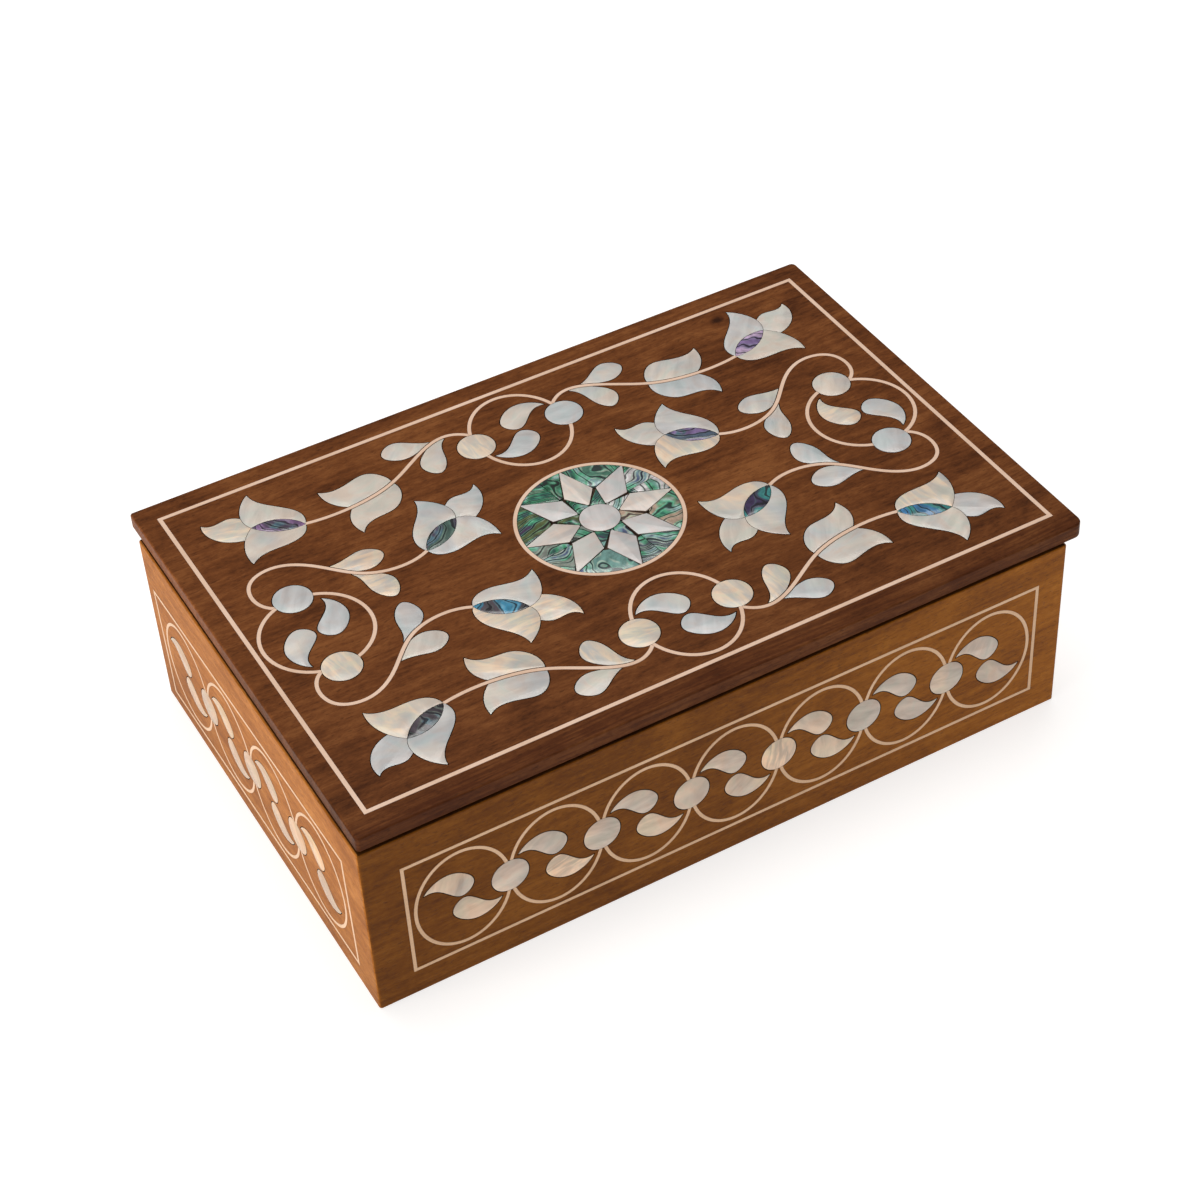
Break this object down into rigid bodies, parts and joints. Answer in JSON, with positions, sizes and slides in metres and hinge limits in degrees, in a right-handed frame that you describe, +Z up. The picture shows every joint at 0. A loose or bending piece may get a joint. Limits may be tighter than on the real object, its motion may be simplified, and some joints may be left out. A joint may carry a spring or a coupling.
{
  "type": "inlaid wooden box",
  "caption": "Rectangular hinged wooden box with a flat overhanging lid, shell flowers and pale scrolling string inlay on the lid and walls.",
  "frame": {"origin": "centre of the carcass's underside, on the surface that it stands on", "axes": "+X along the length to the right, +Y to the back where the hinges are, +Z up"},
  "size_m": [0.2407, 0.1595, 0.0697],
  "materials": {
    "walnut": "oiled, satin",
    "walnut_lid": "oiled, satin",
    "base_wood": "plain",
    "pale_string": "polished flush",
    "pearl_shell": "polished mother-of-pearl",
    "abalone_shell": "polished abalone",
    "velvet": "velvet on thin card",
    "brass": "rolled",
    "brass_screw": "turned"
  },
  "bodies": {
    "carcass": {"front_panel": "walnut", "back_panel": "walnut", "left_panel": "walnut", "right_panel": "walnut", "base_panel": "base_wood", "lining_floor": "velvet", "lining_front": "velvet", "lining_back": "velvet", "lining_left": "velvet", "lining_right": "velvet", "front_frame": "pale_string", "front_ovals": "pale_string", "front_discs": "pearl_shell", "front_commas": "pearl_shell", "back_frame": "pale_string", "back_ovals": "pale_string", "back_discs": "pearl_shell", "back_commas": "pearl_shell", "left_frame": "pale_string", "left_ovals": "pale_string", "left_discs": "pearl_shell", "left_commas": "pearl_shell", "right_frame": "pale_string", "right_ovals": "pale_string", "right_discs": "pearl_shell", "right_commas": "pearl_shell", "hinge_left_body_leaf": "brass", "hinge_left_pin": "brass", "hinge_right_body_leaf": "brass", "hinge_right_pin": "brass", "hinge_body_screws": "brass_screw"},
    "lid": {"lid_panel": "walnut_lid", "lid_border": "pale_string", "lid_ovals": "pale_string", "lid_vines": "pale_string", "medallion_ring": "pale_string", "medallion_centre": "pearl_shell", "medallion_star": "pearl_shell", "medallion_mosaic": "abalone_shell", "lid_tulip_petals": "pearl_shell", "lid_tulip_eyes": "abalone_shell", "lid_bud_petals": "pearl_shell", "lid_leaves": "pearl_shell", "lid_discs": "pearl_shell", "lid_commas": "pearl_shell", "lining_lid": "velvet", "hinge_left_lid_leaf": "brass", "hinge_right_lid_leaf": "brass", "hinge_lid_screws": "brass_screw"}
  },
  "joints": [
    {"name": "lid_hinge", "type": "hinge", "parent": "carcass", "child": "lid", "pos_m": [0, 0.0787, 0.0642], "axis": [-1, 0, 0], "range_deg": [0, 115]}
  ]
}
